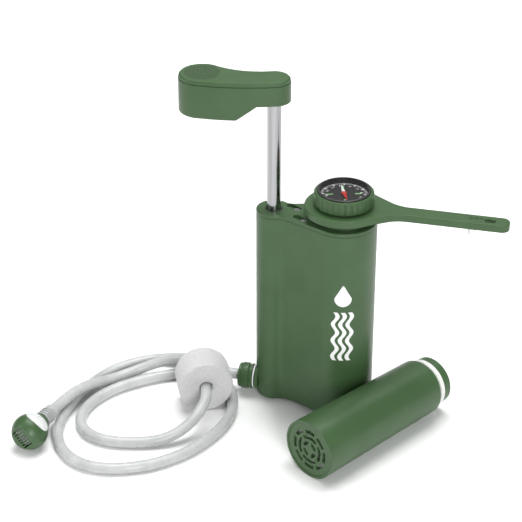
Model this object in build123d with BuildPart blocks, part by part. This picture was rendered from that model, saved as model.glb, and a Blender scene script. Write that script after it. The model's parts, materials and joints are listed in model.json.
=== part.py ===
from build123d import *
import math
import os

os.makedirs("parts", exist_ok=True)

# Pump water filter. Millimetres, +Z up. The origin is on the floor, under the axis of the
# filter well; the pump axis stands at -X from it and the outlet arm points to +X.

# ---- driving dimensions -------------------------------------------------------------------
# body
body_height = 157.0        # floor to the top face of the cover
cover_t = 3.0              # top cover plate
lobe_gap = 51.0            # pump axis to filter axis
filter_lobe_r = 24.0
pump_lobe_r = 12.5
flank_angle = 21.0         # how steeply the flanks close towards the pump lobe
waist_r = 9.0              # hollow round where the flanks meet the pump lobe
well_wall = 1.7
well_floor = 8.0
foot_round = 6.0           # rounding of the bottom edge
arch_at = -24.0            # middle of the arch between the two feet
arch_height = 5.6
arch_width = 36.0
# pump
bore_r = 10.0              # bore in the housing for the pump cylinder
cylinder_wall = 1.9
rod_r = 5.0
rod_out = 83.0             # cover to handle with the pump drawn out
valve_block_h = 17.0
valve_block_z = 6.0
ball_r = 2.4
# handle
handle_reach = 50.0        # rod axis to the centre of the palm end
handle_turned = 9.0        # the palm end points to -X, turned this far to the front
palm_r = 16.5
hub_r = 11.5
hub_h = 17.0
palm_h = 27.5
handle_wall = 2.2
slope_in = 10.0            # where the underside starts to drop, from the rod axis
slope_out = 24.5
lid_t = 3.2
belly_r = 150.0            # long arc of the outer side
hollow_r = 48.0            # hollow arc of the inner side
# head and outlet arm
neck_r = 19.4
neck_h = 6.0
collar_r = 27.5
arm_t = 5.0
arm_reach = 115.5
arm_w = 13.0
arm_angle = 4.0
journal_r = 14.0
spigot_r = 11.0
spigot_h = 4.6
arm_hole_l = 7.5
arm_hole_w = 5.0
arm_hole_at = 102.0
cap_r = 21.0
cap_h = 9.8
washer_t = 0.6
cap_flutes = 30
# compass
compass_r = 18.8
compass_h = 5.4
dial_r = 16.6
needle_l = 25.0
# cartridge
cartridge_r = 22.0         # at the grille rim
cartridge_end_r = 20.6     # at the shoulder
tube_l = 118.0
cart_neck_r = 17.8
cart_neck_l = 12.5
cart_ring_from = 1.2       # seal sleeve, from the shoulder
cart_ring_l = 4.4
cart_ring_r = 18.4
cart_wall = 1.8
grille_t = 3.0
cart_angle = 62.0          # how the cartridge lies beside the body
cart_at = (4.0, -91.3)     # centre of its grille on plan
# inlet
inlet_turn = 5.0           # the inlet points to -X, turned this far to the front
inlet_z = 12.5
nut_r = 9.8
nut_l = 11.0
boss_to = 13.0             # end face of the inlet boss from the pump axis
# hose, float and strainer
hose_r = 4.0
hose_bore_r = 2.5
float_r = 20.5
float_l = 24.5
float_bore_r = 5.0
float_angle = 118.0
float_front = (-90.3, -38.6)
ball_strainer_r = 13.0
strainer_angle = 261.0
strainer_at = (-191.4, -96.0, 13.0)
# clearances
fit = 0.1                  # parts that are fixed in one another
running = 0.05             # rod in its bush, arm on its journal
loose = 0.3                # threads and moving parts that must not touch
seal_grip = 0.05           # seals stand this far off the wall they wipe

# ---- worked out from them -----------------------------------------------------------------
housing_top = body_height - cover_t
pump_x = -lobe_gap
well_r = filter_lobe_r - well_wall
arm_z = body_height + neck_h
arm_top = arm_z + arm_t
cap_z = arm_top + washer_t + 2 * fit
hub_z = body_height + rod_out
handle_top = hub_z + hub_h
palm_z = handle_top - palm_h
cylinder_r = bore_r - fit
piston_r = cylinder_r - cylinder_wall - running
block_top = valve_block_z + valve_block_h


def up_from(x, y, z):
    """Level work plane at a height, with its own origin."""
    return Plane(origin=(x, y, z))


def heading(angle):
    """Unit vector on plan for an angle from +X."""
    return Vector(math.cos(math.radians(angle)), math.sin(math.radians(angle)), 0)


def finish(builder, name):
    """Label a finished piece and write its file."""
    builder.part.label = name
    export_step(builder.part, f"parts/{name}.step")


# ---- plan of the body ---------------------------------------------------------------------
lean = math.radians(flank_angle)
flank_x = -filter_lobe_r * math.sin(lean)
flank_y = filter_lobe_r * math.cos(lean)
flank_end = flank_y - (flank_x - pump_x) * math.tan(lean)

with BuildSketch() as plan:
    Circle(filter_lobe_r)
    with Locations((pump_x, 0)):
        Circle(pump_lobe_r)
    with BuildLine():
        Polyline((flank_x, flank_y), (flank_x, -flank_y), (pump_x, -flank_end),
                 (pump_x, flank_end), close=True)
    make_face()
    fillet(plan.vertices().filter_by_position(Axis.X, pump_x + 1, pump_x + pump_lobe_r), waist_r)

# ---- housing ------------------------------------------------------------------------------
# Two-lobed moulding: filter well in the large lobe, pump bore in the small one, feet under
# both with an arch between them.
slots = ((pump_x + 13.4, 5.2), (pump_x + 22.6, -9.8))
slot_turn = -29.0
slot_l = 13.0
slot_w = 5.0
slot_depth = 2.4
screw_shift = 3.2
screw_r = 1.5
screw_head_r = 2.3
inlet_dir = heading(180 + inlet_turn)
inlet_plane = Plane(origin=(pump_x, 0, inlet_z), z_dir=inlet_dir)
inlet_bore_r = 5.0
boss_r = 8.8
duct_r = 2.2
duct_z = valve_block_z + 3.2
passage_shift = 4.6
screw_spots = [Vector(x, y, 0) + heading(slot_turn) * screw_shift for x, y in slots]

with BuildPart() as housing:
    with BuildSketch():
        add(plan.sketch)
    extrude(amount=housing_top)
    fillet(housing.edges().group_by(Axis.Z)[0], foot_round)
    with BuildSketch(Plane(origin=(arch_at, 0, 0), x_dir=(1, 0, 0), z_dir=(0, -1, 0))):
        Ellipse(arch_width / 2, arch_height)
    extrude(amount=2 * filter_lobe_r, both=True, mode=Mode.SUBTRACT)
    with BuildSketch(up_from(0, 0, well_floor)):
        Circle(well_r)
    extrude(amount=housing_top, mode=Mode.SUBTRACT)
    with BuildSketch(up_from(pump_x, 0, valve_block_z)):
        Circle(bore_r)
    extrude(amount=housing_top, mode=Mode.SUBTRACT)
    with BuildSketch(Plane(origin=(pump_x, 0, duct_z), z_dir=(1, 0, 0))):
        Circle(duct_r)
    extrude(amount=lobe_gap - well_r / 2, mode=Mode.SUBTRACT)
    with BuildSketch(inlet_plane.offset(bore_r + 0.5)):
        Circle(boss_r)
    extrude(amount=boss_to - bore_r - 0.5)
    with BuildSketch(inlet_plane):
        Circle(inlet_bore_r)
    extrude(amount=pump_lobe_r + 5, mode=Mode.SUBTRACT)
    for spot in screw_spots:
        with BuildSketch(up_from(spot.X, spot.Y, housing_top)):
            Circle(screw_r)
        extrude(amount=-12, mode=Mode.SUBTRACT)
finish(housing, "housing")

# ---- top cover and its screws -------------------------------------------------------------
rod_hole_r = rod_r + 1.2

with BuildPart() as top_cover:
    with BuildSketch(up_from(0, 0, housing_top)):
        add(plan.sketch)
    extrude(amount=cover_t)
    fillet(top_cover.edges().group_by(Axis.Z)[-1], 0.8)
    with BuildSketch(up_from(0, 0, housing_top)):
        Circle(neck_r + fit)
        with Locations((pump_x, 0)):
            Circle(rod_hole_r)
        with Locations(*screw_spots):
            Circle(screw_r + fit)
    extrude(amount=cover_t, mode=Mode.SUBTRACT)
    with BuildSketch(up_from(0, 0, body_height)):
        for x, y in slots:
            with Locations(Location((x, y, 0), (0, 0, slot_turn))):
                SlotOverall(slot_l, slot_w)
    extrude(amount=-slot_depth, mode=Mode.SUBTRACT)
finish(top_cover, "top_cover")

with BuildPart() as cover_screws:
    head_z = body_height - slot_depth
    for spot in screw_spots:
        with BuildSketch(up_from(spot.X, spot.Y, head_z)):
            Circle(screw_head_r)
        extrude(amount=1.5)
        with BuildSketch(up_from(spot.X, spot.Y, head_z)):
            Circle(screw_r - fit)
        extrude(amount=-10)
        with BuildSketch(up_from(spot.X, spot.Y, head_z + 1.5)):
            Rectangle(2.4, 0.6)
            Rectangle(0.6, 2.4)
        extrude(amount=-0.8, mode=Mode.SUBTRACT)
finish(cover_screws, "cover_screws")

# ---- pump cylinder, rod bush and wiper ----------------------------------------------------
bush_h = 8.0
bush_z = housing_top - bush_h
wiper_h = 2.4

with BuildPart() as pump_cylinder:
    with BuildSketch(up_from(pump_x, 0, block_top)):
        Circle(cylinder_r)
        Circle(cylinder_r - cylinder_wall, mode=Mode.SUBTRACT)
    extrude(amount=bush_z - block_top)
finish(pump_cylinder, "pump_cylinder")

with BuildPart() as rod_bush:
    with BuildSketch(up_from(pump_x, 0, bush_z)):
        Circle(cylinder_r)
    extrude(amount=bush_h)
    with BuildSketch(up_from(pump_x, 0, housing_top)):
        Circle(rod_hole_r - fit)
    extrude(amount=cover_t + 0.5)
    fillet(rod_bush.edges().group_by(Axis.Z)[-1], 0.4)
    with BuildSketch(up_from(pump_x, 0, bush_z)):
        Circle(rod_r + running)
    extrude(amount=bush_h + cover_t + 1, mode=Mode.SUBTRACT)
    with BuildSketch(up_from(pump_x, 0, bush_z + 3)):
        Circle(rod_r + 1.8)
    extrude(amount=wiper_h + fit, mode=Mode.SUBTRACT)
finish(rod_bush, "rod_bush")

with BuildPart() as rod_wiper:
    with BuildSketch(up_from(pump_x, 0, bush_z + 3 + fit / 2)):
        Circle(rod_r + 1.8 - fit)
        Circle(rod_r + seal_grip, mode=Mode.SUBTRACT)
    extrude(amount=wiper_h)
finish(rod_wiper, "rod_wiper")

# ---- piston and rod -----------------------------------------------------------------------
# The piston hangs on the rod's lower end; a cup seal in its groove wipes the cylinder.
piston_h = 13.0
piston_top = bush_z - 3.0
piston_z = piston_top - piston_h
ring_groove = 1.5
rod_foot = piston_z + 4.0
rod_socket = 8.0
rod_screw_r = 2.0

with BuildPart() as piston_head:
    with BuildSketch(up_from(pump_x, 0, piston_z)):
        Circle(piston_r)
    extrude(amount=piston_h)
    for z in (piston_z + 2.2, piston_top - 5.2):
        with BuildSketch(up_from(pump_x, 0, z)):
            Circle(piston_r + 1)
            Circle(piston_r - ring_groove, mode=Mode.SUBTRACT)
        extrude(amount=3, mode=Mode.SUBTRACT)
    with BuildSketch(up_from(pump_x, 0, rod_foot)):
        Circle(rod_r + fit)
    extrude(amount=piston_h, mode=Mode.SUBTRACT)
    with BuildSketch(up_from(pump_x, 0, piston_z)):
        Circle(rod_screw_r + fit)
    extrude(amount=piston_h, mode=Mode.SUBTRACT)
    with BuildSketch(up_from(pump_x, 0, piston_z)):
        Circle(3.9)
    extrude(amount=2.2, mode=Mode.SUBTRACT)
finish(piston_head, "piston_head")

with BuildPart() as piston_seals:
    for z in (piston_z + 2.2 + fit, piston_top - 5.2 + fit):
        with BuildSketch(up_from(pump_x, 0, z)):
            Circle(cylinder_r - cylinder_wall - seal_grip)
            Circle(piston_r - ring_groove + fit, mode=Mode.SUBTRACT)
        extrude(amount=3 - 2 * fit)
finish(piston_seals, "piston_seals")

with BuildPart() as piston_rod:
    with BuildSketch(up_from(pump_x, 0, rod_foot)):
        Circle(rod_r)
    extrude(amount=hub_z + rod_socket - rod_foot)
    chamfer(piston_rod.edges().group_by(Axis.Z)[-1], 0.5)
    for z, depth in ((rod_foot, 12.0), (hub_z + rod_socket, -14.0)):
        with BuildSketch(up_from(pump_x, 0, z)):
            Circle(rod_screw_r + fit)
        extrude(amount=depth, mode=Mode.SUBTRACT)
finish(piston_rod, "piston_rod")

with BuildPart() as piston_screw:
    with BuildSketch(up_from(pump_x, 0, piston_z + 0.3)):
        Circle(3.6)
    extrude(amount=1.9)
    with BuildSketch(up_from(pump_x, 0, piston_z + 2.2)):
        Circle(rod_screw_r)
    extrude(amount=10)
    with BuildSketch(up_from(pump_x, 0, piston_z + 0.3)):
        RegularPolygon(1.5, 6)
    extrude(amount=1.4, mode=Mode.SUBTRACT)
finish(piston_screw, "piston_screw")

# ---- handle -------------------------------------------------------------------------------
# A palm-shaped shell, deep at the palm end, closed by a flat lid; it turns on the rod's top.
hub_c = Vector(pump_x, 0, 0)
palm_way = heading(180 + handle_turned)
inner_way = heading(90 + handle_turned)
palm_c = hub_c + palm_way * handle_reach


def meet(r_hub, r_palm):
    """Point behind the handle that is r_hub from the rod and r_palm from the palm centre."""
    along = (handle_reach**2 + r_hub**2 - r_palm**2) / (2 * handle_reach)
    return hub_c + palm_way * along + inner_way * math.sqrt(r_hub**2 - along**2)


def handle_outline(inset):
    """Outline of the handle: two round ends, a full outer side and a hollow inner side."""
    hub, palm = hub_r - inset, palm_r - inset
    belly, hollow = belly_r - inset, hollow_r + inset
    belly_c = meet(belly - hub, belly - palm)
    hollow_c = meet(hollow + hub, hollow + palm)
    hub_out = hub_c + (hub_c - belly_c).normalized() * hub
    palm_out = palm_c + (palm_c - belly_c).normalized() * palm
    hub_in = hub_c + (hollow_c - hub_c).normalized() * hub
    palm_in = palm_c + (hollow_c - palm_c).normalized() * palm
    belly_mid = belly_c + ((hub_out + palm_out) / 2 - belly_c).normalized() * belly
    hollow_mid = hollow_c + ((hub_in + palm_in) / 2 - hollow_c).normalized() * hollow
    with BuildSketch() as outline:
        with BuildLine():
            ThreePointArc(hub_out, belly_mid, palm_out)
            ThreePointArc(palm_out, palm_c + palm_way * palm, palm_in)
            ThreePointArc(palm_in, hollow_mid, hub_in)
            ThreePointArc(hub_in, hub_c - palm_way * hub, hub_out)
        make_face()
    return outline.sketch


def underside(lift):
    """Side view of what is cut away below the handle, raised by a wall's thickness."""
    far = 3 * palm_r + handle_reach
    with BuildSketch() as below:
        with BuildLine():
            Polyline((far, palm_z - far), (far, hub_z + lift), (-slope_in, hub_z + lift),
                     (-slope_out, palm_z + lift), (-far, palm_z + lift), (-far, palm_z - far),
                     close=True)
        make_face()
    return below.sketch


side = Plane(origin=hub_c, x_dir=-palm_way, z_dir=-inner_way)
rod_boss_r = rod_r + 2.4
lid_rim = 1.4
handle_screw_z = hub_z + rod_socket + 1.2

with BuildPart() as handle_cavity:
    with BuildSketch(up_from(0, 0, palm_z - 1)):
        add(handle_outline(handle_wall))
    extrude(amount=palm_h)
    with BuildSketch(side):
        add(underside(handle_wall))
    extrude(amount=3 * palm_r, both=True, mode=Mode.SUBTRACT)
    with BuildSketch(up_from(pump_x, 0, palm_z)):
        Circle(rod_boss_r)
    extrude(amount=handle_screw_z - palm_z, mode=Mode.SUBTRACT)

with BuildPart() as handle_shell:
    with BuildSketch(up_from(0, 0, palm_z)):
        add(handle_outline(0))
    extrude(amount=palm_h - lid_t)
    with BuildSketch(side):
        add(underside(0))
    extrude(amount=3 * palm_r, both=True, mode=Mode.SUBTRACT)
    fillet(handle_shell.edges().group_by(Axis.Z)[0], 1.2)
    add(handle_cavity.part, mode=Mode.SUBTRACT)
    with BuildSketch(up_from(pump_x, 0, hub_z)):
        Circle(rod_r + running)
    extrude(amount=rod_socket + running, mode=Mode.SUBTRACT)
    with BuildSketch(up_from(pump_x, 0, hub_z)):
        Circle(rod_screw_r + fit)
    extrude(amount=hub_h, mode=Mode.SUBTRACT)
finish(handle_shell, "handle_shell")

with BuildPart() as handle_lid:
    with BuildSketch(up_from(0, 0, handle_top - lid_t + fit)):
        add(handle_outline(lid_rim * 0.35))
    extrude(amount=lid_t - fit)
    chamfer(handle_lid.edges().group_by(Axis.Z)[-1], 1.0)
    with BuildSketch(up_from(0, 0, handle_top - lid_t + fit)):
        add(handle_outline(handle_wall + fit))
    extrude(amount=-1.2)
    with BuildSketch(up_from(pump_x, 0, handle_top - lid_t - 1.2)):
        Circle(6)
    extrude(amount=1.9, mode=Mode.SUBTRACT)
finish(handle_lid, "handle_lid")

with BuildPart() as handle_screw:
    with BuildSketch(up_from(pump_x, 0, handle_screw_z + 0.5)):
        Circle(3.6)
    extrude(amount=1.2)
    with BuildSketch(up_from(pump_x, 0, handle_screw_z + 0.5)):
        Circle(rod_screw_r)
    extrude(amount=-13)
    with BuildSketch(up_from(pump_x, 0, handle_screw_z + 1.7)):
        Rectangle(3.6, 0.7)
        Rectangle(0.7, 3.6)
    extrude(amount=-0.7, mode=Mode.SUBTRACT)
finish(handle_screw, "handle_screw")

with BuildPart() as handle_washer:
    with BuildSketch(up_from(pump_x, 0, handle_screw_z + fit)):
        Circle(4.6)
        Circle(rod_screw_r + fit, mode=Mode.SUBTRACT)
    extrude(amount=0.4 - fit)
finish(handle_washer, "handle_washer")

# ---- valve block --------------------------------------------------------------------------
# A plug under the cylinder with two ball valves: one lets water in from the inlet, the other
# lets it out to the duct that leads under the cartridge.
in_x = pump_x - passage_shift
out_x = pump_x + passage_shift
seat_r = ball_r - 0.8
passage_r = ball_r + 0.4
in_seat_z = inlet_z + 1.6
out_seat_z = block_top - 3.0
spring_wire = 0.25
spring_r = 1.7

with BuildPart() as valve_block:
    with BuildSketch(up_from(pump_x, 0, valve_block_z)):
        Circle(bore_r - fit)
    extrude(amount=valve_block_h)
    with BuildSketch(up_from(in_x, 0, inlet_z - 1.5)):
        Circle(seat_r)
    extrude(amount=valve_block_h, mode=Mode.SUBTRACT)
    with BuildSketch(up_from(in_x, 0, in_seat_z)):
        Circle(passage_r)
    extrude(amount=valve_block_h, mode=Mode.SUBTRACT)
    with BuildSketch(inlet_plane):
        Circle(2.6)
    extrude(amount=bore_r + 1, mode=Mode.SUBTRACT)
    with BuildSketch(up_from(out_x, 0, duct_z)):
        Circle(seat_r)
    extrude(amount=valve_block_h, mode=Mode.SUBTRACT)
    with BuildSketch(up_from(out_x, 0, duct_z - duct_r)):
        Circle(passage_r)
    extrude(amount=out_seat_z - duct_z + duct_r, mode=Mode.SUBTRACT)
    with BuildSketch(Plane(origin=(out_x, 0, duct_z), z_dir=(1, 0, 0))):
        Circle(duct_r)
    extrude(amount=bore_r, mode=Mode.SUBTRACT)
finish(valve_block, "valve_block")


in_ball_z = in_seat_z + math.sqrt(ball_r**2 - seat_r**2) + 0.05
out_ball_z = out_seat_z - math.sqrt(ball_r**2 - seat_r**2) - 0.05

with BuildPart() as inlet_ball:
    with Locations((in_x, 0, in_ball_z)):
        Sphere(ball_r)
finish(inlet_ball, "inlet_ball")

with BuildPart() as outlet_ball:
    with Locations((out_x, 0, out_ball_z)):
        Sphere(ball_r)
finish(outlet_ball, "outlet_ball")


def spring_on(x, z, height, name):
    """Small coil spring, four turns, standing at a height on the valve block."""
    with BuildPart() as coil:
        with Locations((x, 0, z)):
            for turn in range(4):
                with Locations((0, 0, spring_wire + turn * (height - 2 * spring_wire) / 3)):
                    Torus(spring_r, spring_wire)
    finish(coil, name)


spring_on(in_x, in_ball_z + ball_r + 0.1, block_top - in_ball_z - ball_r - 0.9, "inlet_spring")
spring_on(out_x, duct_z - duct_r + 0.1, out_ball_z - ball_r - duct_z + duct_r - 0.2,
          "outlet_spring")

with BuildPart() as valve_retainer:
    with BuildSketch(up_from(in_x, 0, block_top - 0.7)):
        Circle(passage_r - fit)
        with PolarLocations(1.5, 3):
            Circle(0.6, mode=Mode.SUBTRACT)
    extrude(amount=0.6)
finish(valve_retainer, "valve_retainer")

# ---- inlet fitting, gasket and hose nut ---------------------------------------------------
gasket_t = 0.6
flange_t = 0.9
thread_r = 7.0
thread_l = 5.0
barb_r = hose_bore_r - fit
nut_from = boss_to + gasket_t + flange_t + 0.2
nut_to = nut_from + nut_l
nut_end = 3.0
hose_from = nut_to - 1.0
barb_to = hose_from + 4.5

with BuildPart() as inlet_gasket:
    with BuildSketch(inlet_plane.offset(boss_to)):
        Circle(boss_r - 0.4)
        Circle(inlet_bore_r + fit, mode=Mode.SUBTRACT)
    extrude(amount=gasket_t)
finish(inlet_gasket, "inlet_gasket")

with BuildPart() as inlet_fitting:
    with BuildSketch(inlet_plane.offset(bore_r + fit)):
        Circle(inlet_bore_r - fit)
    extrude(amount=boss_to + gasket_t - bore_r - fit)
    with BuildSketch(inlet_plane.offset(boss_to + gasket_t)):
        Circle(boss_r - 0.2)
    extrude(amount=flange_t)
    with BuildSketch(inlet_plane.offset(boss_to + gasket_t + flange_t)):
        Circle(thread_r)
    extrude(amount=thread_l)
    with BuildSketch(inlet_plane.offset(nut_from)):
        Circle(barb_r)
    extrude(amount=barb_to - nut_from)
    with BuildSketch(inlet_plane):
        Circle(1.5)
    extrude(amount=barb_to, mode=Mode.SUBTRACT)
finish(inlet_fitting, "inlet_fitting")

with BuildPart() as hose_nut:
    with BuildSketch(inlet_plane.offset(nut_from)):
        Circle(nut_r)
    extrude(amount=nut_l)
    chamfer(hose_nut.edges().filter_by(GeomType.CIRCLE), 0.6)
    with BuildSketch(inlet_plane.offset(nut_from)):
        Circle(thread_r + loose)
    extrude(amount=nut_l - nut_end, mode=Mode.SUBTRACT)
    with BuildSketch(inlet_plane.offset(nut_from)):
        Circle(hose_r + loose)
    extrude(amount=nut_l, mode=Mode.SUBTRACT)
finish(hose_nut, "hose_nut")

# ---- filter head --------------------------------------------------------------------------
# Plug of the filter well: it takes the cartridge's neck from below and carries the outlet
# arm on a journal and the compass cap on a threaded spigot.
plug_h = 12.0
plug_z = housing_top - plug_h
socket_top = plug_z + cart_neck_l + 0.5
port_z = arm_z + 2.2
seal_w = 1.6

with BuildPart() as filter_head:
    with BuildSketch(up_from(0, 0, plug_z)):
        Circle(well_r - fit)
    extrude(amount=plug_h)
    with BuildSketch(up_from(0, 0, plug_z + 4)):
        Circle(well_r)
        Circle(well_r - fit - 1.6, mode=Mode.SUBTRACT)
    extrude(amount=2.4, mode=Mode.SUBTRACT)
    with BuildSketch(up_from(0, 0, housing_top)):
        Circle(neck_r)
    extrude(amount=cover_t + neck_h - fit)
    with BuildSketch(up_from(0, 0, arm_z - fit)):
        Circle(journal_r)
    extrude(amount=arm_t + fit + washer_t)
    with BuildSketch(up_from(0, 0, arm_top)):
        Circle(spigot_r)
    extrude(amount=cap_z - arm_top + spigot_h)
    chamfer(filter_head.edges().group_by(Axis.Z)[-1], 0.6)
    with BuildSketch(up_from(0, 0, plug_z)):
        Circle(cart_ring_r + loose)
    extrude(amount=socket_top - plug_z, mode=Mode.SUBTRACT)
    with BuildSketch(up_from(0, 0, plug_z)):
        Circle(4)
    extrude(amount=port_z + 1.5 - plug_z, mode=Mode.SUBTRACT)
    for angle in (0, 90):
        with BuildSketch(Plane(origin=(0, 0, port_z), z_dir=heading(angle))):
            Circle(1.1)
        extrude(amount=journal_r + 1, both=True, mode=Mode.SUBTRACT)
    for z in (arm_z + 0.1, arm_top - 0.9):
        with BuildSketch(up_from(0, 0, z)):
            Circle(journal_r + 1)
            Circle(journal_r - seal_w, mode=Mode.SUBTRACT)
        extrude(amount=0.8, mode=Mode.SUBTRACT)
finish(filter_head, "filter_head")

with BuildPart() as head_seal:
    with BuildSketch(up_from(0, 0, plug_z + 4 + fit)):
        Circle(well_r - seal_grip)
        Circle(well_r - 1.6, mode=Mode.SUBTRACT)
    extrude(amount=2.4 - 2 * fit)
finish(head_seal, "head_seal")

with BuildPart() as arm_seals:
    for z in (arm_z + 0.15, arm_top - 0.85):
        with BuildSketch(up_from(0, 0, z)):
            Circle(journal_r)
            Circle(journal_r - seal_w + fit, mode=Mode.SUBTRACT)
        extrude(amount=0.7)
finish(arm_seals, "arm_seals")

# ---- outlet arm ---------------------------------------------------------------------------
# Ring and arm in one moulding; the channel is open below and closed by a welded strip.
arm_plane = Plane(origin=(0, 0, arm_z), x_dir=heading(arm_angle), z_dir=(0, 0, 1))
arm_root = 38.0
arm_flare = 45.0
strip_t = 1.0
strip_w = 7.0
channel_w = 4.4
channel_h = 2.4
spout_at = 90.0
spout_r = 3.0
spout_drop = 7.0
flare_x = collar_r * math.cos(math.radians(arm_flare))
flare_y = collar_r * math.sin(math.radians(arm_flare))

with BuildPart() as outlet_arm:
    with BuildSketch(arm_plane):
        Circle(collar_r)
        with BuildLine():
            Polyline((flare_x, flare_y), (arm_root, arm_w / 2), (arm_reach, arm_w / 2),
                     (arm_reach, -arm_w / 2), (arm_root, -arm_w / 2), (flare_x, -flare_y),
                     close=True)
        make_face()
    extrude(amount=arm_t)
    tip = outlet_arm.edges().filter_by(Axis.Z).sort_by_distance(
        arm_plane.from_local_coords(Vector(arm_reach, 0, arm_t / 2)))[0:2]
    fillet(tip, arm_w * 0.42)
    roots = outlet_arm.edges().filter_by(Axis.Z).sort_by_distance(
        arm_plane.from_local_coords(Vector(arm_root, 0, arm_t / 2)))[0:2]
    fillet(roots, 24)
    with BuildSketch(arm_plane):
        Circle(journal_r + running)
        with Locations((arm_hole_at, 0)):
            SlotOverall(arm_hole_l, arm_hole_w)
    extrude(amount=arm_t, mode=Mode.SUBTRACT)
    chamfer(outlet_arm.edges().group_by(Axis.Z)[-1], 0.5)
    with BuildSketch(arm_plane.offset(strip_t)):
        Circle(journal_r + 1.5)
        with Locations((spout_at / 2, 0)):
            Rectangle(spout_at, channel_w)
        with Locations((spout_at, 0)):
            Circle(channel_w / 2)
    extrude(amount=channel_h, mode=Mode.SUBTRACT)
    with BuildSketch(arm_plane):
        with Locations(((journal_r + 3 + spout_at + 5) / 2, 0)):
            Rectangle(spout_at + 5 - journal_r - 3, strip_w)
    extrude(amount=strip_t, mode=Mode.SUBTRACT)
finish(outlet_arm, "outlet_arm")

with BuildPart() as arm_strip:
    with BuildSketch(arm_plane):
        with Locations(((journal_r + 3 + spout_at + 5) / 2, 0)):
            Rectangle(spout_at + 5 - journal_r - 3 - 2 * fit, strip_w - 2 * fit)
        with Locations((spout_at, 0)):
            Circle(spout_r - 0.8, mode=Mode.SUBTRACT)
    extrude(amount=strip_t - fit)
finish(arm_strip, "arm_strip")

with BuildPart() as spout:
    with BuildSketch(arm_plane.offset(strip_t - fit - 0.05)):
        with Locations((spout_at, 0)):
            Circle(spout_r - 0.8 - fit)
    extrude(amount=-strip_t)
    with BuildSketch(arm_plane):
        with Locations((spout_at, 0)):
            Circle(spout_r)
    extrude(amount=-spout_drop)
    chamfer(spout.edges().group_by(Axis.Z)[0], 0.5)
    with BuildSketch(arm_plane.offset(strip_t)):
        with Locations((spout_at, 0)):
            Circle(1.5)
    extrude(amount=-spout_drop - strip_t, mode=Mode.SUBTRACT)
finish(spout, "spout")

# ---- cap with the compass -----------------------------------------------------------------
cup_z = cap_z + spigot_h + 1.0
case_z = cup_z + 0.05
case_wall = 1.6
flute_r = 0.8

with BuildPart() as cap_washer:
    with BuildSketch(up_from(0, 0, arm_top + fit)):
        Circle(journal_r + 4)
        Circle(journal_r + fit, mode=Mode.SUBTRACT)
    extrude(amount=washer_t)
finish(cap_washer, "cap_washer")

with BuildPart() as cap:
    with BuildSketch(up_from(0, 0, cap_z)):
        Circle(cap_r)
    extrude(amount=cap_h)
    chamfer(cap.edges().group_by(Axis.Z)[0], 0.8)
    chamfer(cap.edges().group_by(Axis.Z)[-1], 1.0)
    with BuildSketch(up_from(0, 0, cap_z)):
        with PolarLocations(cap_r + 0.3, cap_flutes):
            Circle(flute_r)
    extrude(amount=cap_h, mode=Mode.SUBTRACT)
    with BuildSketch(up_from(0, 0, cap_z)):
        Circle(spigot_r + loose)
    extrude(amount=spigot_h + 0.2, mode=Mode.SUBTRACT)
    with BuildSketch(up_from(0, 0, cup_z)):
        Circle(compass_r + fit)
    extrude(amount=cap_h, mode=Mode.SUBTRACT)
finish(cap, "cap")

with BuildPart() as compass_case:
    with BuildSketch(up_from(0, 0, case_z)):
        Circle(compass_r)
    extrude(amount=compass_h)
    fillet(compass_case.edges().group_by(Axis.Z)[-1], 0.6)
    with BuildSketch(up_from(0, 0, case_z + 1)):
        Circle(compass_r - case_wall)
    extrude(amount=compass_h, mode=Mode.SUBTRACT)
finish(compass_case, "compass_case")

with BuildPart() as compass_dial:
    with BuildSketch(up_from(0, 0, case_z + 1.05)):
        Circle(dial_r)
        Circle(0.6, mode=Mode.SUBTRACT)
    extrude(amount=0.4)
finish(compass_dial, "compass_dial")

with BuildPart() as compass_pivot:
    with BuildSketch(up_from(0, 0, case_z + 1.0)):
        Circle(0.5)
    extrude(amount=2.2)
    chamfer(compass_pivot.edges().group_by(Axis.Z)[-1], 0.3)
finish(compass_pivot, "compass_pivot")

needle_angle = 116.0
needle_plane = Plane(origin=(0, 0, case_z + 2.2), x_dir=heading(needle_angle), z_dir=(0, 0, 1))

with BuildPart() as compass_needle:
    with BuildSketch(needle_plane):
        with BuildLine():
            Polyline((needle_l / 2, 0), (0, 1.5), (-needle_l / 2, 0), (0, -1.5), close=True)
        make_face()
        Circle(2.0)
        Circle(0.65, mode=Mode.SUBTRACT)
    extrude(amount=0.35)
finish(compass_needle, "compass_needle")

with BuildPart() as compass_lens:
    with BuildSketch(up_from(0, 0, case_z + compass_h - 1.3)):
        Circle(compass_r - case_wall - fit)
    extrude(amount=1.1)
finish(compass_lens, "compass_lens")

# ---- cartridge ----------------------------------------------------------------------------
# It is shown beside the body, lying on its rim and its shoulder; its neck end fits the head.
tip_down = math.atan((cartridge_r - cartridge_end_r) / tube_l)
cart_dir = heading(cart_angle) * math.cos(tip_down) - Vector(0, 0, math.sin(tip_down))
cart_plane = Plane(origin=(*cart_at, cartridge_r + 0.02), z_dir=cart_dir)
rim_l = 5.0
shoulder_r = 3.0
ring_from = tube_l + cart_ring_from
cart_end = tube_l + cart_neck_l

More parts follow.
